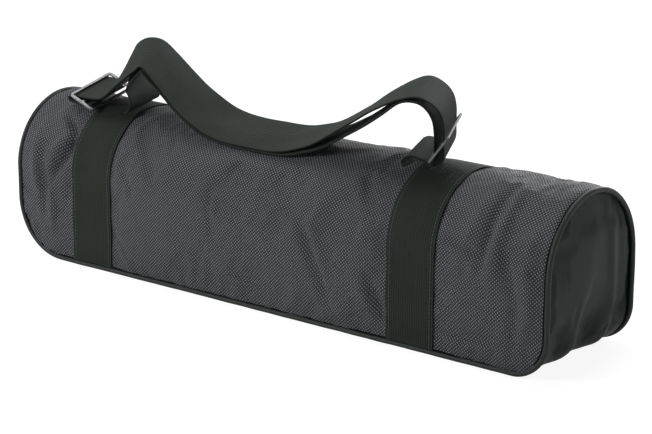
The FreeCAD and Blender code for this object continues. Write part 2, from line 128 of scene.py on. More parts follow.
def stiffened(x, girth):
    """0 along the zip and the hinge line, where the cloth lies flat, and 1 away from them."""
    if girth < hinge_girth - 0.02 or abs(x) > open_half + 0.02:
        return 1.0
    off_hinge = abs(girth - hinge_girth) - 0.003
    inside = min(open_half - abs(x), foot_z + wrap_girth - girth - open_bottom)
    off_zip = max(-0.004 - inside, inside - 0.013) if girth > hinge_girth - 0.005 else 1.0
    if abs(x) > open_half + 0.002:
        off_hinge = 1.0
    return max(0.0, min(1.0, off_hinge / 0.008, off_zip / 0.008))


def cloth_rise(x, girth, left_end, right_end, creased=True):
    """How far the cloth stands proud of the flat foam, in metres."""
    edge = min(girth, wrap_girth - girth, x - left_end, right_end - x)
    held = (1 - math.exp(-max(edge, 0.0) / 0.012)) * stiffened(x, girth)
    rise = 0.0016 * held
    for mid in band_mid.values():
        beside = abs(x - mid) - band_half
        rise -= 0.0022 * math.exp(-(max(beside, 0.0) / 0.016) ** 2) * held
        if 0 < beside < 0.03:
            ripple = math.sin(girth * 190 + mid * 40) * math.exp(-beside / 0.010)
            rise += 0.0005 * ripple * held
    slow = noise.noise(Vector((x * 13, girth * 16, 3.1)))
    soft = slow + 0.55 * noise.noise(Vector((x * 31, girth * 36, 7.7)))
    rise += 0.0011 * soft * held
    rise += 0.00035 * noise.noise(Vector((x * 85, girth * 85, 1.3))) * held
    end_near = math.exp(-max(min(x - left_end, right_end - x), 0.0) / 0.030)
    rise += 0.0011 * math.sin(girth * 105 + 1.3 * math.sin(girth * 61)) * end_near * held
    if creased:
        rise += held * max(-0.0055, sum(fold(x, girth, crease) for crease in wrap_creases))
    return rise


def on_wrap(x, girth, lift=0.0, creased=True):
    point, out = section(girth)
    left_end, right_end = ends_at(point.z)
    rise = cloth_rise(x, girth, left_end, right_end, creased)
    return Vector((x, point.y, point.z)) + out * (rise + lift)


def laid_grid(name, across, along, size, place):
    """Adds a grid and lays each of its points where place says; its UV map is in metres."""
    bpy.ops.object.select_all(action="DESELECT")
    bpy.ops.mesh.primitive_grid_add(
        x_subdivisions=across, y_subdivisions=along, size=1, calc_uvs=True,
    )
    piece = bpy.context.object
    piece.name = name
    piece.data.name = name
    mesh = piece.data
    flat = [(v.co.x + 0.5, v.co.y + 0.5) for v in mesh.vertices]
    for loop, spot in zip(mesh.loops, mesh.uv_layers.active.data):
        u, v = flat[loop.vertex_index]
        spot.uv = (u * size[0], v * size[1])
    for v, (a, b) in zip(mesh.vertices, flat):
        v.co = place(a, b)
    return piece


def only(piece):
    bpy.ops.object.select_all(action="DESELECT")
    piece.select_set(True)
    bpy.context.view_layer.objects.active = piece


def apply_all(piece):
    only(piece)
    for modifier in list(piece.modifiers):
        bpy.ops.object.modifier_apply(modifier=modifier.name)


def outward(piece):
    """Closes doubled points and turns every face away from the middle of the case."""
    only(piece)
    bpy.ops.object.mode_set(mode="EDIT")
    bpy.ops.mesh.select_all(action="SELECT")
    bpy.ops.mesh.remove_doubles(threshold=0.00002)
    bpy.ops.mesh.normals_make_consistent(inside=False)
    middle = Vector((0, 0, arch_z))
    faces = bmesh.from_edit_mesh(piece.data).faces
    if sum(f.normal.dot(f.calc_center_median() - middle) * f.calc_area() for f in faces) < 0:
        bpy.ops.mesh.flip_normals()
    bpy.ops.object.mode_set(mode="OBJECT")


def thicken(piece, thickness, offset=-1.0):
    solid = piece.modifiers.new("thickness", "SOLIDIFY")
    solid.thickness = thickness
    solid.offset = offset
    solid.use_even_offset = False


def settle(piece, held, most_out):
    """Lets a sewn sheet buckle over its padding: a cloth simulation, sewn points held."""
    frames, most_in, most_slide = 14, 0.0008, 0.0012
    mesh = piece.data
    start = [v.co.copy() for v in mesh.vertices]
    outs = [v.normal.copy() for v in mesh.vertices]
    sewn = piece.vertex_groups.new(name="sewn")
    for v in mesh.vertices:
        sewn.add([v.index], held(v.co), "REPLACE")
    only(piece)
    cloth = piece.modifiers.new("cloth", "CLOTH")
    sheet = cloth.settings
    sheet.quality = 5
    sheet.mass = 0.25
    sheet.tension_stiffness = 30
    sheet.compression_stiffness = 30
    sheet.shear_stiffness = 12
    sheet.bending_stiffness = 0.15
    sheet.shrink_min = -0.02
    sheet.use_pressure = True
    sheet.uniform_pressure_force = 1.0
    sheet.vertex_group_mass = "sewn"
    sheet.effector_weights.gravity = 0
    cloth.collision_settings.use_collision = False
    scene = bpy.context.scene
    cloth.point_cache.frame_start = 1
    cloth.point_cache.frame_end = frames
    for frame_number in range(1, frames + 1):
        scene.frame_set(frame_number)
    bpy.ops.object.modifier_apply(modifier=cloth.name)
    scene.frame_set(1)
    for v, rest, out in zip(mesh.vertices, start, outs):
        move = v.co - rest
        rise = max(-most_in, min(most_out, move.dot(out)))
        slide = move - out * move.dot(out)
        if slide.length > most_slide:
            slide *= most_slide / slide.length
        v.co = rest + out * rise + slide
    piece.vertex_groups.clear()


def smooth(piece, angle=50):
    only(piece)
    bpy.ops.object.shade_smooth_by_angle(angle=math.radians(angle))


def group_node(name, inputs, outputs):
    """A shader node group with a Vector and named number sockets, and its two end nodes."""
    group = bpy.data.node_groups.new(name, "ShaderNodeTree")
    group.interface.new_socket("Vector", in_out="INPUT", socket_type="NodeSocketVector")
    for label, value in inputs.items():
        socket = group.interface.new_socket(label, in_out="INPUT", socket_type="NodeSocketFloat")
        socket.default_value = value
    for label in outputs:
        group.interface.new_socket(label, in_out="OUTPUT", socket_type="NodeSocketFloat")
    start = group.nodes.new("NodeGroupInput")
    end = group.nodes.new("NodeGroupOutput")
    return group, start, end


def feed(tree, socket, value):
    """Links an output to a socket, or sets a plain colour or number on it."""
    if isinstance(value, bpy.types.NodeSocket):
        tree.links.new(value, socket)
    else:
        socket.default_value = (*value, 1) if isinstance(value, tuple) else value


def math_node(tree, operation, *values):
    node = tree.nodes.new("ShaderNodeMath")
    node.operation = operation
    for socket, value in zip(node.inputs, values):
        feed(tree, socket, value)
    return node.outputs[0]


# Basket weave: bundles of yarn that cross over and under, in a chequer. Height is the
# cloth's relief, the second output marks the crown of every other bundle, where a highlight is
# painted, and the third the pits between bundles, where shade is painted.
basket, given, result = group_node(
    "basket_weave", {"Pitch": 0.0013, "Wander": 0.12}, ("Height", "Yarn_Highlight", "Pit_Shade"),
)
sums = partial(math_node, basket)
wobble = basket.nodes.new("ShaderNodeTexNoise")
wobble.inputs["Scale"].default_value = 60
wobble.inputs["Detail"].default_value = 2
basket.links.new(given.outputs["Vector"], wobble.inputs["Vector"])
parts = basket.nodes.new("ShaderNodeSeparateXYZ")
basket.links.new(given.outputs["Vector"], parts.inputs[0])
shift = sums("MULTIPLY", sums("SUBTRACT", wobble.outputs[0], 0.5), given.outputs["Wander"])
warp_run = sums("ADD", sums("DIVIDE", parts.outputs[0], given.outputs["Pitch"]), shift)
weft_run = sums("ADD", sums("DIVIDE", parts.outputs[1], given.outputs["Pitch"]), shift)
square = sums("ADD", sums("FLOOR", warp_run), sums("FLOOR", weft_run))
over = sums("GREATER_THAN", sums("PINGPONG", square, 1.0), 0.5)
warp_wave = sums("SINE", sums("MULTIPLY", sums("FRACT", warp_run), math.pi))
weft_wave = sums("SINE", sums("MULTIPLY", sums("FRACT", weft_run), math.pi))
warp = sums("MULTIPLY", sums("POWER", warp_wave, 0.45), sums("MULTIPLY_ADD", weft_wave, 0.6, 0.4))
weft = sums("MULTIPLY", sums("POWER", weft_wave, 0.45), sums("MULTIPLY_ADD", warp_wave, 0.6, 0.4))
relief = basket.nodes.new("ShaderNodeMix")
basket.links.new(over, relief.inputs[0])
basket.links.new(weft, relief.inputs[2])
basket.links.new(warp, relief.inputs[3])
bundle = sums("POWER", sums("MULTIPLY", warp_wave, weft_wave), 0.6)
basket.links.new(relief.outputs[0], result.inputs["Height"])
basket.links.new(sums("MULTIPLY", bundle, over), result.inputs["Yarn_Highlight"])
basket.links.new(sums("SUBTRACT", 1.0, relief.outputs[0]), result.inputs["Pit_Shade"])

# Dust and handling: slow patches where the nap is lifted and the cloth looks a little greyer.
handled, given, result = group_node("handled_cloth", {"Scale": 9.0}, ("Patch",))
patches = handled.nodes.new("ShaderNodeTexNoise")
patches.inputs["Detail"].default_value = 4
handled.links.new(given.outputs["Vector"], patches.inputs["Vector"])
handled.links.new(given.outputs["Scale"], patches.inputs["Scale"])
spread = handled.nodes.new("ShaderNodeMapRange")
spread.inputs["From Min"].default_value = 0.35
spread.inputs["From Max"].default_value = 0.70
handled.links.new(patches.outputs[0], spread.inputs["Value"])
handled.links.new(spread.outputs[0], result.inputs["Patch"])


def mix_colour(tree, factor, first, second):
    node = tree.nodes.new("ShaderNodeMix")
    node.data_type = "RGBA"
    tree.links.new(factor, node.inputs["Factor"])
    feed(tree, node.inputs[6], first)
    feed(tree, node.inputs[7], second)
    return node.outputs[2]


def put_group(tree, group, **values):
    node = tree.nodes.new("ShaderNodeGroup")
    node.node_tree = group
    for name, value in values.items():
        feed(tree, node.inputs[name], value)
    return node


def bump(tree, height, distance, strength=1.0):
    node = tree.nodes.new("ShaderNodeBump")
    node.inputs["Distance"].default_value = distance
    node.inputs["Strength"].default_value = strength
    tree.links.new(height, node.inputs["Height"])
    return node.outputs[0]


def new_material(name, roughness):
    material = bpy.data.materials.new(name)
    material.use_nodes = True
    shader = material.node_tree.nodes["Principled BSDF"]
    shader.inputs["Roughness"].default_value = roughness
    return material, material.node_tree, shader


def handled_dye(tree, scale, clean, dusty):
    """The dyed colour, drifting from clean to dusty in patches over the piece."""
    spot = tree.nodes.new("ShaderNodeTexCoord")
    nap = put_group(tree, handled, Vector=spot.outputs["Object"], Scale=scale)
    return mix_colour(tree, nap.outputs["Patch"], clean, dusty)


ballistic, tree, shader = new_material("ballistic_nylon", 0.62)
cloth_uv = tree.nodes.new("ShaderNodeUVMap")
skew = tree.nodes.new("ShaderNodeMapping")
skew.inputs["Rotation"].default_value = (0, 0, math.radians(2))
tree.links.new(cloth_uv.outputs[0], skew.inputs["Vector"])
weave = put_group(tree, basket, Vector=skew.outputs[0], Pitch=0.0016)
ground = handled_dye(tree, 9.0, (0.0205, 0.0222, 0.0240), (0.0350, 0.0370, 0.0400))
# Painted highlight: pale grey on the crown of every other yarn bundle. Painted shade: near black in
# the pits between bundles.
with_yarn_highlight = mix_colour(tree, weave.outputs["Yarn_Highlight"], ground, (0.243, 0.250, 0.272))
with_pit_shade = mix_colour(tree, weave.outputs["Pit_Shade"], with_yarn_highlight, (0.002, 0.002, 0.003))
tree.links.new(with_pit_shade, shader.inputs["Base Color"])
rough = math_node(tree, "MULTIPLY_ADD", weave.outputs["Yarn_Highlight"], -0.16, 0.62)
tree.links.new(rough, shader.inputs["Roughness"])
shader.inputs["Specular IOR Level"].default_value = 0.30
tree.links.new(bump(tree, weave.outputs["Height"], 0.0006), shader.inputs["Normal"])


def wrap_place(u, v):
    girth = v * wrap_girth
    left_end, right_end = ends_at(section(girth)[0].z)
    return on_wrap(left_end + u * (right_end - left_end), girth)


def wrap_uv(piece):
    """Lays the weave straight along the case, whatever the corners do to the grid."""
    mesh = piece.data
    for loop, spot in zip(mesh.loops, mesh.uv_layers.active.data):
        spot.uv = (mesh.vertices[loop.vertex_index].co.x, spot.uv[1])


wrap = laid_grid("wrap_cloth", 200, 124, (2 * half_l, wrap_girth), wrap_place)
wrap_uv(wrap)
outward(wrap)


def sewn_wrap(spot):
    """1 where the wrap is sewn down: at its seams, under the bands and round the zip."""
    left_end, right_end = ends_at(spot.z)
    near = min(spot.x - left_end, right_end - spot.x, spot.z - foot_z)
    near = min([near] + [abs(spot.x - mid) - band_half for mid in band_mid.values()])
    if spot.y > 0:
        girth = wrap_girth - (spot.z - foot_z)
        if spot.z > arch_z:
            girth = straight + half_w * (math.pi - math.atan2(spot.z - arch_z, spot.y))
        if stiffened(spot.x, girth) < 0.5:
            return 1.0
    return 1.0 if near < 0.003 else 0.0


settle(wrap, sewn_wrap, most_out=0.0026)
thicken(wrap, cloth_t)
apply_all(wrap)

# ------------------------------
# Lid: the same nylon, cut out of the back of the wrap and closed by the zip. It stays
# joined along the hinge line, where the cloth itself bends.
lid_low, lid_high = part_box("lid_panel")
lid_half, lid_bottom = lid_high.x, lid_low.z
lid_corner = open_corner - (open_half - lid_half)
hinge_gap = 0.0004


def window_block(name, half, bottom, corner, gap):
    """A block through the back wall, with rounded lower corners, below the hinge line."""
    bpy.ops.object.select_all(action="DESELECT")
    top, depth = 0.30, 0.20
    bpy.ops.mesh.primitive_cube_add(
        size=1, location=(0, depth / 2, (bottom + top) / 2), scale=(2 * half, depth, top - bottom),
    )
    block = bpy.context.object
    block.name = name
    bpy.ops.object.transform_apply(location=True, rotation=True, scale=True)
    bpy.ops.object.mode_set(mode="EDIT")
    bpy.ops.mesh.select_all(action="DESELECT")
    body = bmesh.from_edit_mesh(block.data)
    bpy.ops.mesh.select_mode(type="EDGE")
    for edge in body.edges:
        ends = [v.co for v in edge.verts]
        low = all(abs(p.z - bottom) < 1e-5 for p in ends)
        edge.select_set(low and abs(ends[0].x - ends[1].x) < 1e-5)
    bmesh.update_edit_mesh(block.data)
    bpy.ops.mesh.bevel(offset=corner, segments=10, profile=0.5)
    bpy.ops.mesh.select_all(action="SELECT")
    away = Vector((0, math.sin(hinge_angle), -math.cos(hinge_angle)))
    bpy.ops.mesh.bisect(
        plane_co=Vector((0, 0, arch_z)) + away * gap, plane_no=-away,
        use_fill=True, clear_outer=True, clear_inner=False,
    )
    bpy.ops.object.mode_set(mode="OBJECT")
    return block


def cut_with(piece, block, operation):
    cutter = piece.modifiers.new("cut", "BOOLEAN")
    cutter.operation = operation
    cutter.solver = "EXACT"
    cutter.object = block
    apply_all(piece)


def copy_of(piece, name):
    twin = piece.copy()
    twin.data = piece.data.copy()
    twin.name = name
    twin.data.name = name
    bpy.context.scene.collection.objects.link(twin)
    return twin


open_block = window_block("opening_cutter", open_half, open_bottom, open_corner, 0.0)
lid_block = window_block("lid_cutter", lid_half, lid_bottom, lid_corner, hinge_gap)
lid = copy_of(wrap, "lid_cloth")
cut_with(wrap, open_block, "DIFFERENCE")
cut_with(lid, lid_block, "INTERSECT")


def finish(piece, body, node, angle=50):
    """Smooths a finished piece, hangs it on what it rides on and hides the CAD node it stands for."""
    smooth(piece, angle)
    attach(piece, body)
    if node:
        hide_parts(node)


for piece, body, node in ((wrap, "case", "wrap_panel"), (lid, "lid", "lid_panel")):
    piece.data.materials.clear()
    piece.data.materials.append(ballistic)
    finish(piece, body, node, 60)

# ------------------------------
# Base and ends: one long strip of smoother, thinner cloth that runs down one end, under
# the case and up the other. It is softer than the wrap and falls in slow upright folds.
def fine_cloth(name, roughness, gloss, weave, patch, dyes, pit_shade_colour, relief):
    """Thin woven cloth: weave is its pitch and wander, dyes its clean and dusty colours, and the last
    colour the painted shade in the pits between yarns.
    """
    material, tree, shader = new_material(name, roughness)
    cloth_uv = tree.nodes.new("ShaderNodeUVMap")
    fine = put_group(tree, basket, Vector=cloth_uv.outputs[0], Pitch=weave[0], Wander=weave[1])
    # Painted shade: the pits between yarns are darkened towards the pit colour.
    colour = mix_colour(tree, fine.outputs["Pit_Shade"], handled_dye(tree, patch, *dyes), pit_shade_colour)
    tree.links.new(colour, shader.inputs["Base Color"])
    shader.inputs["Specular IOR Level"].default_value = gloss
    tree.links.new(bump(tree, fine.outputs["Height"], *relief), shader.inputs["Normal"])
    return material


plain = fine_cloth(
    "plain_nylon", 0.50, 0.26, (0.0005, 0.3), 14.0,
    ((0.0095, 0.0148, 0.0138), (0.0135, 0.0195, 0.0182)), (0.006, 0.010, 0.009), (0.00010, 0.7),
)

base_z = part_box("end_base_panel")[0].z
left_up = crown - corner_left
right_up = crown - corner_right
base_run = 2 * half_l - corner_left - corner_right
strip_length = left_up + right_up + base_run + (corner_left + corner_right) * math.pi / 2


def strip_line(run):
    """Point and outward direction along the strip, from the left crown to the right."""
    side, radius = -1, corner_left
    if run > strip_length - right_up - corner_right * math.pi / 2 - base_run / 2:
        run, side, radius = strip_length - run, 1, corner_right
    upright = crown - radius
    if run < upright:
        return Vector((side * half_l, 0, crown - run)), Vector((side, 0, 0))
    run -= upright
    a = run / radius
    if a < math.pi / 2:
        out = Vector((side * math.cos(a), 0, -math.sin(a)))
        return Vector((side * (half_l - radius), 0, radius)) + out * radius, out
    run -= radius * math.pi / 2
    return Vector((side * (half_l - radius - run), 0, 0)), Vector((0, 0, -1))


def strip_half(height):
    """Half width of the strip: full below the arch, closing to a point at the crown."""
    inner = half_w - 0.0006
    if height < arch_z:
        return inner
    return math.sqrt(max(inner ** 2 - (height - arch_z) ** 2, 0.0)) + 0.0002


# Each upright fold: its middle across the case, its lean, its half width and its depth.
end_folds = [
    (0.030, 0.10, 0.006, 0.0022), (0.043, 0.06, 0.005, -0.0018), (-0.006, -0.12, 0.014, 0.0010),
]


def strip_push(y, wide, point, out):
    """How far the end cloth stands out: a slack cushion with a few soft upright folds."""
    across = 1 - min(1.0, abs(y) / wide) ** 2 if wide > 0 else 0.0
    edge = min(wide - abs(y), max(0.0, crown - point.z))
    held = 1 - math.exp(-max(edge, 0.0) / 0.012)
    upright = abs(out.x)
    push = 0.0030 * across * held * upright
    side = 1 if point.x > 0 else -1
    for middle, lean, width, deep in end_folds:
        line = middle - lean * (point.z - 0.075)
        push += deep * math.exp(-((y - line) / width) ** 2) * held * upright
    push += 0.0016 * noise.noise(Vector((y * 24, point.z * 12, 5.0 + side))) * held * upright
    hollow = math.exp(-((point.z - 0.026) / 0.020) ** 2) * across * held
    scallop = 1 + 0.35 * math.sin(y * 130 + 0.8)
    push -= (0.0075 if side > 0 else 0.0030) * hollow * scallop
    return push


def strip_place(u, v):
    point, out = strip_line(v * strip_length)
    wide = strip_half(point.z)
    y = (2 * u - 1) * wide
    place = Vector((point.x, y, point.z)) + out * strip_push(y, wide, point, out)
    place.z = max(place.z, base_z)
    return place


strip = laid_grid("base_and_ends_cloth", 56, 240, (2 * half_w, strip_length), strip_place)
outward(strip)


def sewn_strip(spot):
    """1 along the piping seam and wherever the strip lies under the case."""
    upright = min(spot.z - 0.012, strip_half(spot.z) - abs(spot.y))
    return 1.0 if upright < 0.004 else 0.0


settle(strip, sewn_strip, most_out=0.0025)
thicken(strip, cloth_t)
apply_all(strip)
strip.data.materials.append(plain)
finish(strip, "case", "end_base_panel", 60)

# ------------------------------
# Piping: a soft cord wrapped in satin cloth and caught in the seam between the wrap and
# the base strip, in one closed loop. A thin near-black tube along its inner side is painted shade in
# the seam.
satin = fine_cloth(
    "piping_satin", 0.45, 0.32, (0.0006, 0.2), 30.0,
    ((0.014, 0.018, 0.016), (0.021, 0.025, 0.023)), (0.008, 0.010, 0.009), (0.00012, 0.8),
)

piping_low, piping_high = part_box("piping")
piping_r = 0.0024
piping_z = piping_low.z + piping_r
cord_x, cord_y = piping_high.x - piping_r, piping_high.y - piping_r


def seam_loop(inset_y, inset_x, low):
    """Length of the closed seam, and a function for its point and outward direction."""
    x, y = cord_x - inset_x, cord_y - inset_y
    turn_l, turn_r = corner_left - inset_x, corner_right - inset_x
    drop, bend_l = arch_z - low - turn_l, turn_l * math.pi / 2
    foot, bend_r = 2 * x - turn_l - turn_r, turn_r * math.pi / 2
    rail_length = drop + bend_l + foot + bend_r + arch_z - low - turn_r
    arch = math.pi * y

    def rail(run):
        """Along one side: down from the left arch, under the case, up to the right arch."""
        if run < drop:
            return -x, arch_z - run
        run -= drop
        if run < bend_l:
            a = run / turn_l
            return -x + turn_l - turn_l * math.cos(a), low + turn_l - turn_l * math.sin(a)
        run -= bend_l
        if run < foot:
            return -x + turn_l + run, low
        run -= foot
        if run < bend_r:
            a = run / turn_r
            return x - turn_r + turn_r * math.sin(a), low + turn_r - turn_r * math.cos(a)
        return x, low + turn_r + run - bend_r

    def at(run):
        run = (run + drop + bend_l) % (2 * (rail_length + arch))
        if run < rail_length:
            along, height = rail(run)
            return Vector((along, -y, height)), Vector((0, -1, 0))
        run -= rail_length
        if run < arch:
            out = Vector((0, -math.cos(run / y), math.sin(run / y)))
            return Vector((x, 0, arch_z)) + out * y, out
        run -= arch
        if run < rail_length:
            along, height = rail(rail_length - run)
            return Vector((along, y, height)), Vector((0, 1, 0))
        run -= rail_length
        out = Vector((0, math.cos(run / y), math.sin(run / y)))
        return Vector((-x, 0, arch_z)) + out * y, out

    return 2 * (rail_length + arch), at


def tube_on_seam(name, radius, inset_y, inset_x, low, steps, around, waver):
    length, at = seam_loop(inset_y, inset_x, low)

    def place(u, v):
        run = (v % 1.0) * length
        middle, out = at(run)
        ahead = at(min(run + 0.0006, length - 1e-6))[0] - at(max(run - 0.0006, 0))[0]
        ahead.normalize()
        inward = ahead.cross(out).normalized()
        angle = u * 2 * math.pi
        swell = 1 + waver * noise.noise(Vector((run * 45, radius * 900, 2.0)))
        middle = middle + inward * (waver * 0.0022 * noise.noise(Vector((run * 16, 4.0, 8.0))))
        spot = middle + (out * math.cos(angle) + inward * math.sin(angle)) * radius * swell
        spot.z = max(spot.z, 0.00005)
        return spot

    tube = laid_grid(name, around, steps, (2 * math.pi * radius, length), place)
    outward(tube)
    return tube


piping = tube_on_seam("piping_cord", piping_r, 0, 0, piping_z, 520, 14, 0.16)
piping.data.materials.append(satin)
finish(piping, "case", "piping", 80)

# Painted shade: a thin near-black tube laid in the seam beside the piping stands for the shade there.
seam_shade_material, tree, shader = new_material("seam_shade", 0.8)
cloth_uv = tree.nodes.new("ShaderNodeUVMap")
fine = put_group(tree, basket, Vector=cloth_uv.outputs[0], Pitch=0.0012, Wander=0.1)
seam_shade_colour = mix_colour(tree, fine.outputs["Pit_Shade"], (0.007, 0.008, 0.008), (0.001, 0.001, 0.001))
tree.links.new(seam_shade_colour, shader.inputs["Base Color"])
shader.inputs["Specular IOR Level"].default_value = 0.05
seam_in = 0.0029
seam = tube_on_seam("piping_seam_shade", 0.0008, -0.0005, seam_in, piping_z + seam_in, 420, 8, 0.2)
seam.data.materials.append(seam_shade_material)
finish(seam, "case", None, 80)

# ------------------------------
# Bands: two lengths of 50 mm ribbed webbing sewn over the wrap from the front seam to the
# hinge line, with a tail on the lid. A row of stitches runs just inside each edge.
# Ribbed webbing: Height is the ribs' relief, the second output the hollows between ribs, where shade
# is painted, and Stitch the rows of stitches.
ribbed, given, result = group_node(
    "ribbed_webbing", {"Rib": 0.0026, "Pick": 0.0011, "Width": 0.05}, ("Height", "Groove_Shade", "Stitch"),
)
sums = partial(math_node, ribbed)
parts = ribbed.nodes.new("ShaderNodeSeparateXYZ")
ribbed.links.new(given.outputs["Vector"], parts.inputs[0])
rib_run = sums("DIVIDE", parts.outputs[0], given.outputs["Rib"])
rib_part = sums("FRACT", rib_run)
rib_odd = sums("GREATER_THAN", sums("PINGPONG", sums("FLOOR", rib_run), 1.0), 0.5)
pick_run = sums("DIVIDE", parts.outputs[1], given.outputs["Pick"])
lean = sums("MULTIPLY_ADD", rib_odd, 1.0, -0.5)
slant = sums("MULTIPLY", sums("MULTIPLY", rib_part, lean), 2.0)
pick_part = sums("FRACT", sums("ADD", pick_run, slant))
rib_round = sums("POWER", sums("SINE", sums("MULTIPLY", rib_part, math.pi)), 0.5)
pick_round = sums("SINE", sums("MULTIPLY", pick_part, math.pi))
rib_height = sums("MULTIPLY", rib_round, sums("MULTIPLY_ADD", pick_round, 0.45, 0.55))
half_width = sums("MULTIPLY", given.outputs["Width"], 0.5)
from_middle = sums("ABSOLUTE", sums("SUBTRACT", parts.outputs[0], half_width))
from_edge = sums("SUBTRACT", half_width, from_middle)
stitch_line = sums("LESS_THAN", sums("ABSOLUTE", sums("SUBTRACT", from_edge, 0.0035)), 0.00045)
stitch_part = sums("FRACT", sums("DIVIDE", parts.outputs[1], 0.0034))
stitch = sums("MULTIPLY", stitch_line, sums("LESS_THAN", stitch_part, 0.72))
ribbed.links.new(rib_height, result.inputs["Height"])
ribbed.links.new(sums("SUBTRACT", 1.0, rib_height), result.inputs["Groove_Shade"])
ribbed.links.new(stitch, result.inputs["Stitch"])


def webbing_material(name, base, worn, groove_shade_colour, stitched):
    material, tree, shader = new_material(name, 0.66)
    cloth_uv = tree.nodes.new("ShaderNodeUVMap")
    rib = put_group(tree, ribbed, Vector=cloth_uv.outputs[0], Rib=0.0024, Pick=0.0012, Width=0.05)
    # Painted shade: the grooves between ribs are darkened towards the groove colour.
    deep = mix_colour(tree, rib.outputs["Groove_Shade"], handled_dye(tree, 22.0, base, worn), groove_shade_colour)
    height = rib.outputs["Height"]
    if stitched:
        deep = mix_colour(tree, rib.outputs["Stitch"], deep, (0.055, 0.058, 0.056))
        height = math_node(tree, "MULTIPLY_ADD", rib.outputs["Stitch"], 0.8, rib.outputs["Height"])
    tree.links.new(deep, shader.inputs["Base Color"])
    shader.inputs["Specular IOR Level"].default_value = 0.16
    tree.links.new(bump(tree, height, 0.00040), shader.inputs["Normal"])
    return material


band_webbing = webbing_material(
    "band_webbing", (0.0155, 0.0225, 0.0175), (0.0225, 0.0300, 0.0250), (0.0025, 0.0038, 0.0030), True,
)
band_t = 0.0015
band_foot = 0.0052


def band_piece(name, mid, start, stop, steps):
    """Webbing pulled down on the cloth, from one girth to another; its edges lie lower."""
    def place(u, v):
        x = mid + (u - 0.5) * 2 * band_half
        girth = start + v * (stop - start)
        edge = 1 - abs(2 * u - 1) ** 8
        point, out = section(girth)
        left_end, right_end = ends_at(point.z)
        held = cloth_rise(mid, girth, left_end, right_end) * 0.5
        held += cloth_rise(x, girth, left_end, right_end) * 0.5
        return Vector((x, point.y, point.z)) + out * (held + band_t * (0.75 + 0.25 * edge) + 0.0002)

    piece = laid_grid(name, 20, steps, (2 * band_half, stop - start), place)
    outward(piece)
    thicken(piece, band_t)
    apply_all(piece)
    piece.data.materials.append(band_webbing)
    return piece


for side, mid in band_mid.items():
    over = band_piece("band_cloth_" + side, mid, band_foot - foot_z, hinge_girth - 0.0003, 90)
    finish(over, "case", "band_" + side, 40)
    tail_end = wrap_girth - (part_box("lid_band_" + side)[0].z - foot_z)
    tail = band_piece("lid_band_cloth_" + side, mid, hinge_girth + 0.0005, tail_end, 50)
    finish(tail, "lid", "lid_band_" + side, 40)

# ------------------------------
# Carry strap: one length of 50 mm webbing folded back through an adjuster at each end, so
# that it lies doubled along the whole carry. Both runs are limp and keep old bends.
strap_webbing = webbing_material(
    "strap_webbing", (0.024, 0.0315, 0.026), (0.035, 0.0435, 0.037), (0.004, 0.006, 0.005), False,
)
strap_half = 0.024
strap_t = 0.0017
left_up_z, left_low_z, left_mid_z = 0.16136, 0.15544, 0.1584
right_up_x, right_low_x = 0.1690, 0.1600

# Stops of the upper run: x, y, z, lean and yaw of the webbing's width in degrees.
upper_route = [
    (-0.234, -0.013, left_low_z, 13, 0), (-0.243, -0.013, left_low_z, 13, 0),
    (-0.252, -0.013, left_low_z, 13, 0), (-0.261, -0.013, left_low_z, 13, 0),
    (-0.265, -0.013, left_mid_z, 13, 0), (-0.261, -0.013, left_up_z, 13, 0),
    (-0.252, -0.013, left_up_z, 13, 0), (-0.243, -0.013, left_up_z, 13, 0),
    (-0.233, -0.013, left_up_z + 0.0003, 13, 0), (-0.224, -0.013, 0.164, 16, 0),
    (-0.218, -0.013, 0.17, 20, 5), (-0.2135, -0.014, 0.1785, 26, 14),
    (-0.203, -0.014, 0.1915, 32, 24), (-0.1885, -0.014, 0.201, 30, 24),
    (-0.174, -0.015, 0.204, 22, 13), (-0.16, -0.016, 0.197, 13, 4),
    (-0.14, -0.018, 0.1835, 12, 0), (-0.12, -0.02, 0.171, 17, 0),
    (-0.1, -0.022, 0.1613, 20, 0), (-0.078, -0.023, 0.1534, 20, 0),
    (-0.05, -0.023, 0.15, 20, 1), (-0.02, -0.023, 0.1496, 20, 2),
    (0.005, -0.023, 0.1508, 19, 3), (0.026, -0.022, 0.156, 16, 5),
    (0.045, -0.02, 0.163, 12, 8), (0.0755, -0.017, 0.1815, 9, 12),
    (0.103, -0.016, 0.199, 9, 16), (0.125, -0.015, 0.211, 10, 19),
    (0.141, -0.014, 0.216, 11, 22), (0.155, -0.014, 0.213, 11, 23),
    (0.165, -0.014, 0.2055, 11, 23), (right_up_x, -0.014, 0.194, 11, 23),
    (right_up_x, -0.014, 0.181, 11, 23), (right_up_x, -0.014, 0.168, 11, 23),
    (0.165, -0.014, 0.1605, 11, 23), (0.156, -0.014, 0.1563, 11, 23),
]
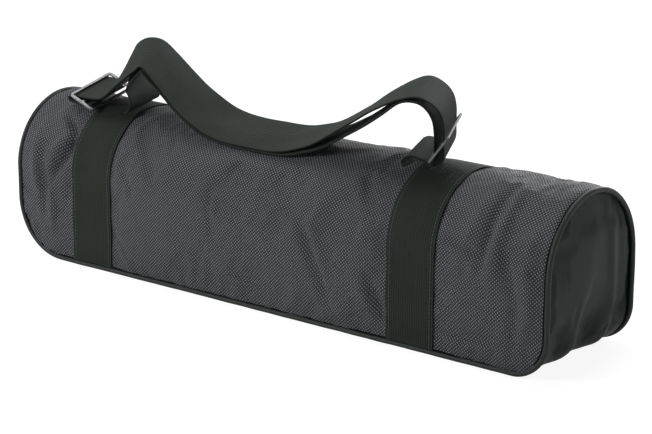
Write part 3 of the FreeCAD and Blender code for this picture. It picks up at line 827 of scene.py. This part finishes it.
lower_route = [
    (-0.19, -0.014, 0.1528, 10, 0), (-0.1868, -0.014, 0.156, 12, 4),
    (-0.1885, -0.014, 0.164, 14, 14), (-0.1945, -0.014, 0.1725, 18, 22),
    (-0.202, -0.014, 0.179, 24, 30), (-0.197, -0.014, 0.1868, 30, 28),
    (-0.186, -0.014, 0.1955, 28, 24), (-0.1735, -0.015, 0.199, 21, 13),
    (-0.16, -0.016, 0.1922, 12, 0), (-0.14, -0.018, 0.18, 12, 0),
    (-0.12, -0.02, 0.1678, 17, 0), (-0.1, -0.022, 0.1584, 20, 0),
    (-0.078, -0.023, 0.1507, 20, 0), (-0.05, -0.023, 0.1475, 20, 1),
    (-0.02, -0.023, 0.1472, 20, 2), (0.005, -0.023, 0.1483, 19, 3),
    (0.027, -0.022, 0.1515, 16, 5), (0.048, -0.02, 0.1575, 12, 8),
    (0.079, -0.017, 0.1745, 9, 12), (0.106, -0.016, 0.193, 9, 16),
    (0.125, -0.015, 0.2076, 10, 19), (0.139, -0.014, 0.211, 11, 22),
    (0.15, -0.014, 0.2075, 11, 23), (0.1575, -0.014, 0.199, 11, 23),
    (right_low_x, -0.014, 0.187, 11, 23), (right_low_x, -0.014, 0.175, 11, 23),
    (right_low_x, -0.014, 0.164, 11, 23), (0.1565, -0.014, 0.1605, 11, 23),
    (0.149, -0.014, 0.1625, 10, 22), (0.14, -0.015, 0.164, 8, 20),
    (0.133, -0.016, 0.161, 6, 18), (0.1315, -0.016, 0.1555, 4, 14),
    (0.1375, -0.016, 0.152, 2, 8),
]


def between(stops, at):
    """A point on the smooth line through the stops, with each value eased the same way."""
    last = len(stops) - 1
    k = min(int(at), last - 1)
    t = at - k
    before, here = stops[max(k - 1, 0)], stops[k]
    there, after = stops[k + 1], stops[min(k + 2, last)]
    return [
        0.5 * (
            2 * b + (c - a) * t + (2 * a - 5 * b + 4 * c - d) * t * t
            + (3 * b - a - 3 * c + d) * t ** 3
        )
        for a, b, c, d in zip(before, here, there, after)
    ]


def even_stations(stops, step):
    """Places along the line, in stops, that lie one step apart."""
    fine = [i * 0.05 for i in range(int((len(stops) - 1) / 0.05) + 1)]
    spots = [Vector(between(stops, at)[:3]) for at in fine]
    runs = [0.0]
    for a, b in zip(spots, spots[1:]):
        runs.append(runs[-1] + (b - a).length)
    count = int(runs[-1] / step)
    places, j = [], 0
    for i in range(count + 1):
        goal = runs[-1] * i / count
        while j < len(runs) - 2 and runs[j + 1] < goal:
            j += 1
        places.append(fine[j] + 0.05 * (goal - runs[j]) / max(runs[j + 1] - runs[j], 1e-9))
    return places, runs[-1]


def strap_piece(name, stops):
    """One run of the strap, flat where it is threaded and a little cupped along the carry."""
    places, length = even_stations(stops, 0.0022)
    steps = len(places) - 1

    def place(u, v):
        at = places[int(round(v * steps))]
        x, y, z, lean, yaw = between(stops, at)
        ahead = Vector(between(stops, min(at + 0.02, len(stops) - 1))[:3])
        ahead -= Vector(between(stops, max(at - 0.02, 0))[:3])
        lean, yaw = math.radians(lean), math.radians(yaw)
        level = Vector((-math.sin(yaw), math.cos(yaw), 0))
        across = level * math.cos(lean) + Vector((0, 0, math.sin(lean)))
        face = ahead.cross(across).normalized()
        side = 2 * u - 1
        run = v * length
        limp = max(0.0, min(1.0, (min(run, length - run) - 0.085) / 0.03))
        cup = 0.0009 * side * side + 0.0006 * noise.noise(Vector((run * 40, side * 1.5, 4.0)))
        return Vector((x, y, z)) + across * side * strap_half + face * limp * (strap_t - cup)

    piece = laid_grid(name, 16, steps, (2 * strap_half, length), place)
    thicken(piece, strap_t, 0.0)
    edge = piece.modifiers.new("edge", "BEVEL")
    edge.width = 0.0006
    edge.segments = 2
    edge.limit_method = "ANGLE"
    apply_all(piece)
    piece.data.materials.append(strap_webbing)
    return piece


for run_name, route in (("upper", upper_route), ("lower", lower_route)):
    run_piece = strap_piece("strap_" + run_name + "_cloth", route)
    finish(run_piece, "case", "strap_" + run_name)

# ------------------------------
# Adjusters: three-bar frames of cast metal with a dark, satin black-nickel finish, rubbed
# paler in places. The webbing threaded through each one holds it.
nickel, tree, shader = new_material("black_nickel", 0.34)
place = tree.nodes.new("ShaderNodeTexCoord")
scratch = tree.nodes.new("ShaderNodeTexNoise")
scratch.inputs["Scale"].default_value = 260
scratch.inputs["Detail"].default_value = 5
tree.links.new(place.outputs["Object"], scratch.inputs["Vector"])
worn_metal = mix_colour(tree, scratch.outputs[0], (0.06, 0.06, 0.063), (0.22, 0.22, 0.23))
tree.links.new(worn_metal, shader.inputs["Base Color"])
shader.inputs["Metallic"].default_value = 1.0
rubbed = math_node(tree, "MULTIPLY_ADD", scratch.outputs[0], 0.25, 0.30)
tree.links.new(rubbed, shader.inputs["Roughness"])
tree.links.new(bump(tree, scratch.outputs[0], 0.00005, 0.4), shader.inputs["Normal"])
for node in ("adjuster_left", "adjuster_right"):
    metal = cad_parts[node]
    metal.data.materials.clear()
    metal.data.materials.append(nickel)

# ------------------------------
# Padding: sheets of 8 mm closed-cell foam, cut to each wall and dropped in loose between
# the shell and the lining. They follow the bends that the shell has taken.
foam, tree, shader = new_material("closed_cell_foam", 0.9)
place = tree.nodes.new("ShaderNodeTexCoord")
cells = tree.nodes.new("ShaderNodeTexVoronoi")
cells.inputs["Scale"].default_value = 1400
tree.links.new(place.outputs["Object"], cells.inputs["Vector"])
cell_colour = mix_colour(tree, cells.outputs["Distance"], (0.030, 0.030, 0.032), (0.075, 0.075, 0.078))
tree.links.new(cell_colour, shader.inputs["Base Color"])
tree.links.new(bump(tree, cells.outputs["Distance"], 0.0002, 0.6), shader.inputs["Normal"])
foam_t = 0.0079


def wall_layer(name, inset, thickness, clear, creased, material):
    """A layer of the wrap wall at the given depth; only its outer face takes the shell's creases."""
    start = max(0.0, clear - foot_z)
    inner_spots = []

    def place(u, v):
        girth = start + v * (wrap_girth - 2 * start)
        height = max(section(girth)[0].z, inset)
        left_end = -half_l + inset + corner_cut(corner_left - inset, height - inset)
        right_end = half_l - inset - corner_cut(corner_right - inset, height - inset)
        x = left_end + u * (right_end - left_end)
        inner_spots.append(on_wrap(x, girth, -inset - thickness, False))
        return on_wrap(x, girth, -inset, creased)

    layer = laid_grid(name, 120, 90, (2 * half_l, wrap_girth), place)
    wrap_uv(layer)
    outward(layer)
    thicken(layer, thickness)
    apply_all(layer)
    count = len(inner_spots)
    for vertex, spot in zip(list(layer.data.vertices)[count:2 * count], inner_spots):
        vertex.co = spot
    layer.data.materials.append(material)
    return layer


def strip_layer(name, inset, thickness, start, stop, wide, steps, material):
    """A layer of the base and ends, as far below the strip as inset."""
    def place(u, v):
        point, out = strip_line(start + v * (stop - start))
        over = max(point.z - arch_z, 0.0)
        half = math.sqrt(max(wide ** 2 - over ** 2, 0.0))
        y = (2 * u - 1) * half
        push = strip_push(y, strip_half(point.z), point, out) if half > 0 else 0.0
        spot = Vector((point.x, y, point.z)) + out * (push - inset)
        spot.z = max(spot.z, inset)
        return spot

    layer = laid_grid(name, 36, steps, (2 * wide, stop - start), place)
    outward(layer)
    thicken(layer, thickness)
    apply_all(layer)
    layer.data.materials.append(material)
    return layer


skin = 0.00125
inner_half = half_w - skin - foam_t - 0.0001
crown_in = crown - arch_z - inner_half
turn_left = left_up + corner_left * math.pi / 2
turn_right = strip_length - right_up - corner_right * math.pi / 2
pads = {"wrap_foam": wall_layer("wrap_padding", skin, foam_t, 0.0, True, foam)}
for node, name, start, stop in (
    ("base_foam", "base_padding", turn_left + 0.0003, turn_right - 0.0003),
    ("end_foam_left", "end_padding_left", crown_in, turn_left),
    ("end_foam_right", "end_padding_right", turn_right, strip_length - crown_in),
):
    pads[node] = strip_layer(name, skin, foam_t, start, stop, inner_half, 60, foam)
pads["lid_foam"] = copy_of(pads["wrap_foam"], "lid_padding")
cut_with(pads["wrap_foam"], open_block, "DIFFERENCE")
cut_with(pads["lid_foam"], lid_block, "INTERSECT")
for node, pad in pads.items():
    finish(pad, "lid" if node == "lid_foam" else "case", node)

# ------------------------------
# Lining: thin grey cloth over the foam, sewn in at the seams and round the opening.
grey_lining = fine_cloth(
    "grey_lining", 0.58, 0.50, (0.0006, 0.2), 12.0,
    ((0.17, 0.17, 0.18), (0.21, 0.21, 0.22)), (0.09, 0.09, 0.10), (0.00012, 0.8),
)
lining_in = skin + foam_t + 0.0002
lining_t = 0.0007
lining = wall_layer("wrap_lining_cloth", lining_in, lining_t, lining_in + 0.0010, False, grey_lining)
lid_lining = copy_of(lining, "lid_lining_cloth")
cut_with(lining, open_block, "DIFFERENCE")
cut_with(lid_lining, lid_block, "INTERSECT")
finish(lining, "case", "wrap_lining")
finish(lid_lining, "lid", "lid_lining")
strip_trim = 0.0009
floor_lining = strip_layer(
    "base_and_ends_lining", lining_in, lining_t, crown_in + strip_trim,
    strip_length - (crown_in + strip_trim), inner_half - strip_trim, 200, grey_lining,
)
finish(floor_lining, "case", "end_base_lining")

# ------------------------------
# Zip: a woven tape on each side of the U-shaped opening, and two nylon coils whose teeth
# mesh between them. Small staples of black metal stop the sliders at both ends.
tape, tree, shader = new_material("zip_tape", 0.6)
cloth_uv = tree.nodes.new("ShaderNodeUVMap")
rib = put_group(tree, ribbed, Vector=cloth_uv.outputs[0], Rib=0.0008, Pick=0.0008, Width=0.05)
# Painted shade: the grooves between the tape's ribs are darkened.
tape_with_groove_shade = mix_colour(tree, rib.outputs["Groove_Shade"], (0.018, 0.019, 0.019), (0.006, 0.006, 0.006))
tree.links.new(tape_with_groove_shade, shader.inputs["Base Color"])
shader.inputs["Specular IOR Level"].default_value = 0.2
tree.links.new(bump(tree, rib.outputs["Height"], 0.0002, 0.8), shader.inputs["Normal"])
coil_nylon, tree, shader = new_material("zip_nylon", 0.32)
coil_colour = handled_dye(tree, 60.0, (0.016, 0.016, 0.017), (0.026, 0.026, 0.028))
tree.links.new(coil_colour, shader.inputs["Base Color"])
hinge_height = foot_z + wrap_girth - hinge_girth


def zip_line(share, inset, clear):
    """Place along the U-shaped opening, at this distance inside its edge."""
    if share > 0.5:
        x, height = zip_line(1 - share, inset, clear)
        return -x, height
    radius = open_corner - inset
    side = hinge_height - clear - open_bottom - open_corner
    bend = radius * math.pi / 2
    run = share * 2 * (side + bend + open_half - open_corner)
    if run < side:
        return -open_half + inset, hinge_height - clear - run
    run -= side
    if run < bend:
        across, down = radius * math.cos(run / radius), radius * math.sin(run / radius)
        return -open_half + open_corner - across, open_bottom + open_corner - down
    return -open_half + open_corner + run - bend, open_bottom + inset


def on_zip(share, inset, clear, lift):
    x, height = zip_line(share, inset, clear)
    return on_wrap(x, wrap_girth - (height - foot_z), lift)


zip_length = 2 * (hinge_height - open_bottom - 2 * open_corner + open_half)
zip_length += open_corner * math.pi
tape_t, tooth_pitch = 0.0008, 0.0016
for label, body, start, stop, coil_in, clear in (
    ("body", "case", 0.0001, 0.0032, 0.0039, 0.0002), ("lid", "lid", 0.0064, 0.0095, 0.0057, 0.0006),
):
    def coil_place(u, v):
        around = u * 2 * math.pi
        tooth = 0.86 + 0.14 * math.cos(v * zip_length / tooth_pitch * 2 * math.pi)
        inset = coil_in + 0.0007 * math.cos(around) * tooth
        return on_zip(v, inset, clear, -0.0004 + 0.0011 * math.sin(around) * tooth)

    side_tape = laid_grid(
        "zip_tape_cloth_" + label, 6, 420, (stop - start, zip_length),
        lambda u, v: on_zip(v, start + u * (stop - start), clear, -0.0002),
    )
    outward(side_tape)
    thicken(side_tape, tape_t)
    apply_all(side_tape)
    side_tape.data.materials.append(tape)
    finish(side_tape, body, "zip_tape_" + label)
    coil_steps = int(zip_length / (tooth_pitch / 4))
    coil = laid_grid("zip_coil_teeth_" + label, 8, coil_steps, (0.0044, zip_length), coil_place)
    outward(coil)
    coil.data.materials.append(coil_nylon)
    finish(coil, body, "zip_coil_" + label)

# ------------------------------
# Sliders, pulls and stops: small die-cast pieces in black enamel. Each pull hangs on its
# slider's bail and swings round it.
black_metal, tree, shader = new_material("black_zip_metal", 0.38)
enamel = handled_dye(tree, 300.0, (0.018, 0.018, 0.019), (0.05, 0.05, 0.052))
tree.links.new(enamel, shader.inputs["Base Color"])
shader.inputs["Metallic"].default_value = 0.7
for node in ("zip_stops", "zip_slider_left", "zip_slider_right", "zip_pull_left", "zip_pull_right"):
    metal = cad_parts[node]
    metal.data.materials.clear()
    metal.data.materials.append(black_metal)

for helper in (open_block, lid_block):
    bpy.data.objects.remove(helper)

# ------------------------------
# Studio: a plain white floor and backdrop, soft lamps, and the camera.
bpy.ops.object.select_all(action="DESELECT")
bpy.ops.mesh.primitive_plane_add(size=30, location=(0, 0, 0))
floor = bpy.context.object
floor.name = "studio_floor"
paper, tree, shader = new_material("studio_paper", 0.9)
shader.inputs["Base Color"].default_value = (0.92, 0.92, 0.92, 1)
shader.inputs["Specular IOR Level"].default_value = 0.0
glow = tree.nodes.new("ShaderNodeEmission")
glow.inputs["Color"].default_value = (1, 1, 1, 1)
glow.inputs["Strength"].default_value = 1.22


def white_share(tree, always, camera, mirrored):
    """How white the backdrop is to lamps' light, to the camera, and in metal or glass."""
    rays = tree.nodes.new("ShaderNodeLightPath")
    share = math_node(tree, "MULTIPLY_ADD", rays.outputs["Is Camera Ray"], camera, always)
    for kind in ("Is Glossy Ray", "Is Transmission Ray"):
        share = math_node(tree, "MULTIPLY_ADD", rays.outputs[kind], mirrored, share)
    return share


blend_floor = tree.nodes.new("ShaderNodeMixShader")
tree.links.new(white_share(tree, 0.0, 0.74, 0.2), blend_floor.inputs[0])
tree.links.new(shader.outputs[0], blend_floor.inputs[1])
tree.links.new(glow.outputs[0], blend_floor.inputs[2])
tree.links.new(blend_floor.outputs[0], tree.nodes["Material Output"].inputs["Surface"])
floor.data.materials.append(paper)

world = bpy.data.worlds.new("studio")
bpy.context.scene.world = world
world.use_nodes = True
tree = world.node_tree
sky = tree.nodes["Background"]
sky.inputs["Color"].default_value = (1, 1, 1, 1)
tree.links.new(white_share(tree, 0.14, 0.86, 0.3), sky.inputs["Strength"])


def soft_lamp(name, spot, aim, size, power):
    bpy.ops.object.light_add(type="AREA", location=spot)
    lamp = bpy.context.object
    lamp.name = name
    lamp.data.shape = "RECTANGLE"
    lamp.data.size, lamp.data.size_y = size
    lamp.data.energy = power
    lamp.rotation_euler = (Vector(aim) - Vector(spot)).to_track_quat("-Z", "Y").to_euler()


soft_lamp("overhead", (-0.2, 0.35, 1.7), (0, 0, 0.08), (1.0, 0.7), 18)
soft_lamp("front_left", (-1.2, -1.9, 1.0), (0, 0, 0.08), (0.6, 0.5), 34)
soft_lamp("right_edge", (1.9, 0.9, 0.9), (0.2, 0, 0.08), (0.5, 1.0), 3)
soft_lamp("back_fill", (-0.5, 2.3, 0.9), (0, 0, 0.08), (1.2, 0.9), 26)

camera_data = bpy.data.cameras.new("studio_camera")
camera = bpy.data.objects.new("studio_camera", camera_data)
bpy.context.scene.collection.objects.link(camera)
camera_data.lens = 121.7
camera_data.sensor_width = 36
camera.location = (1.2268, -1.4869, 0.6159)
target = Vector((0.0236, 0, 0.0775))
camera.rotation_euler = (target - camera.location).to_track_quat("-Z", "Y").to_euler()
bpy.context.scene.camera = camera
bpy.context.scene.view_settings.view_transform = "Standard"
